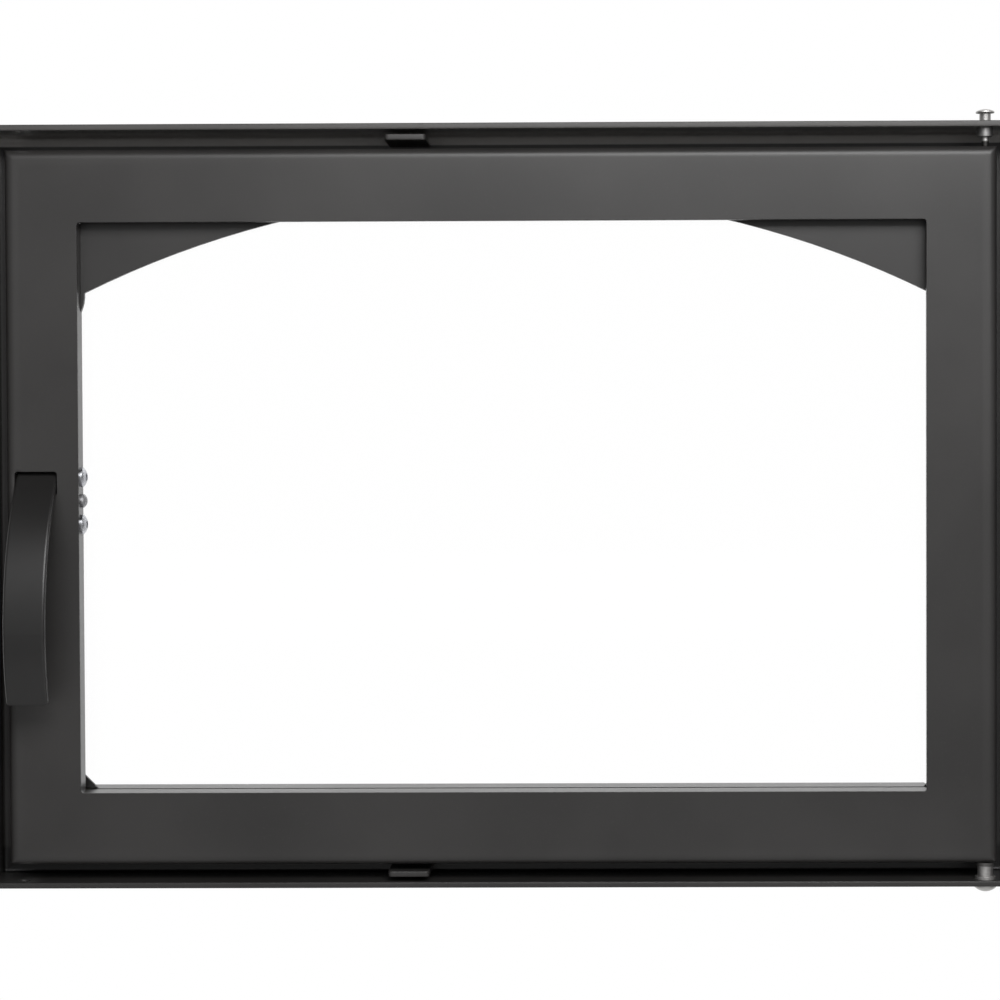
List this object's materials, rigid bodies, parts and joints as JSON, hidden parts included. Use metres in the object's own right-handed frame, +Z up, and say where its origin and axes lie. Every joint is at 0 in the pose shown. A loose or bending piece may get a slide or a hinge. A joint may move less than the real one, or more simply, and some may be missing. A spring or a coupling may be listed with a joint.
{
  "type": "bake oven door",
  "caption": "Glazed sheet-steel bake oven door with an arched window, hung on loose pins in its own wall frame and held shut by a bowed lever handle with a hook.",
  "frame": {"origin": "middle of the frame, on the rear face of its flange, which is also the middle of the wall screw pattern", "axes": "+X to the right as seen from the room, +Y into the oven, +Z up"},
  "size_m": [0.56, 0.068, 0.4195],
  "materials": {
    "body_paint": "satin heat-resistant paint",
    "inner_paint": "matt heat-resistant paint",
    "handle_paint": "satin heat-resistant paint",
    "zinc_steel": "zinc plated",
    "plain_steel": "oiled, dark",
    "glass": "clear heat-resistant glass",
    "tape": "woven glass-fibre tape",
    "rope": "knitted glass-fibre rope"
  },
  "bodies": {
    "frame": {"frame_shell": "body_paint", "frame_lug_top": "body_paint", "frame_lug_bottom": "body_paint", "hinge_pin_top": "zinc_steel", "hinge_pin_bottom": "zinc_steel", "collar_top": "zinc_steel", "collar_bottom": "zinc_steel", "plain_washer": "zinc_steel", "thrust_washer": "plain_steel", "latch_keeper": "plain_steel"},
    "door": {"door_front": "body_paint", "door_back": "inner_paint", "arch_plate": "inner_paint", "glass_seat": "inner_paint", "glass_seat_low": "inner_paint", "glass_pane": "glass", "front_tape": "tape", "rear_tape": "tape", "door_gasket": "rope", "back_posts": "plain_steel", "back_screws": "zinc_steel", "hinge_plate_top": "plain_steel", "hinge_plate_bottom": "plain_steel", "pivot_plate": "plain_steel", "pivot_pin": "plain_steel", "pivot_screws": "zinc_steel", "pivot_ring": "zinc_steel"},
    "handle": {"handle_bar": "handle_paint", "pivot_tube": "plain_steel", "latch_hook": "plain_steel", "lever_plate": "plain_steel"}
  },
  "joints": [
    {"name": "door_swing", "type": "hinge", "parent": "frame", "child": "door", "pos_m": [0.259, -0.0315, 0], "axis": [0, 0, 1], "range_deg": [0, 120]},
    {"name": "handle_pull", "type": "hinge", "parent": "door", "child": "handle", "pos_m": [-0.25, -0.0285, 0.0035], "axis": [1, 0, 0], "range_deg": [-20, 0]}
  ]
}
